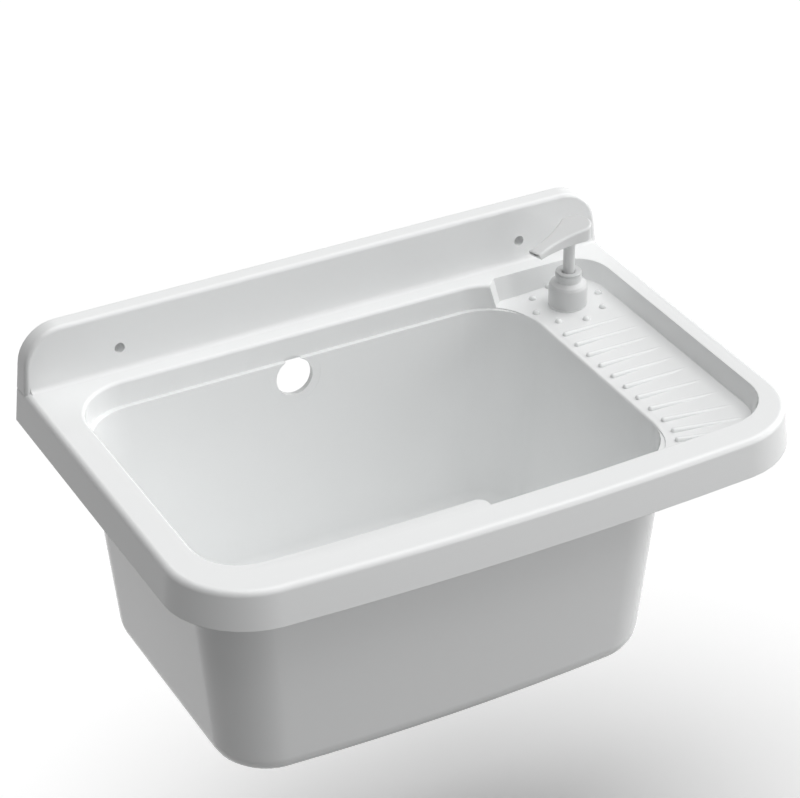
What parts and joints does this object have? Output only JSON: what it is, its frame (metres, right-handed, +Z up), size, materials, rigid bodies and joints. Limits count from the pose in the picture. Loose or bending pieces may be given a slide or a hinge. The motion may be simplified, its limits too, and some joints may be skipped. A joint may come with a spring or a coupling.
{
  "type": "utility laundry sink",
  "caption": "Wall-hung plastic laundry sink with a deep tapered bowl, low splashback, sunk side deck with drain ribs and a built-in soap pump, an overflow hole and a screw-clamped waste",
  "frame": {"origin": "on the wall plane, at the middle of the sink's width, level with the top of the rim", "axes": "+X to the right along the wall as seen from the front, +Y into the wall, +Z up"},
  "size_m": [0.505, 0.335, 0.3194],
  "materials": {
    "basin_polypropylene": "white injection-moulded polypropylene with a smooth gloss face",
    "pump_polypropylene": "white moulded polypropylene with a soft sheen",
    "natural_polyethylene": "uncoloured translucent polyethylene with a waxy face",
    "rubber": "black moulded rubber",
    "stainless_steel": "plain stainless steel"
  },
  "bodies": {
    "sink": {"basin": "basin_polypropylene", "waste_strainer": "basin_polypropylene", "flange_seal": "rubber", "body_seal": "rubber", "waste_body": "basin_polypropylene", "waste_screw": "stainless_steel", "outlet_washer": "rubber", "outlet_nut": "basin_polypropylene", "pump_collar": "pump_polypropylene", "guide_bush": "pump_polypropylene", "soap_bottle": "natural_polyethylene", "bottle_seal": "rubber", "chamber_seal": "rubber", "pump_chamber": "natural_polyethylene", "dip_tube": "natural_polyethylene", "return_spring": "stainless_steel"},
    "piston": {"pump_piston": "natural_polyethylene"},
    "head": {"pump_stem": "pump_polypropylene", "pump_head": "pump_polypropylene"},
    "ball": {"inlet_ball": "stainless_steel"}
  },
  "joints": [
    {"name": "pump_stroke", "type": "slide", "parent": "sink", "child": "piston", "axis": [0, 0, -1], "range_m": [0, 0.014], "stiffness_N_per_m": 350, "springref_m": -0.017, "deforming": ["return_spring"]},
    {"name": "head_turn", "type": "hinge", "parent": "piston", "child": "head", "pos_m": [0.1927, -0.0654, 0.04], "axis": [0, 0, 1], "continuous": true},
    {"name": "inlet_ball_lift", "type": "slide", "parent": "sink", "child": "ball", "axis": [0, 0, 1], "range_m": [0, 0.0015]}
  ]
}
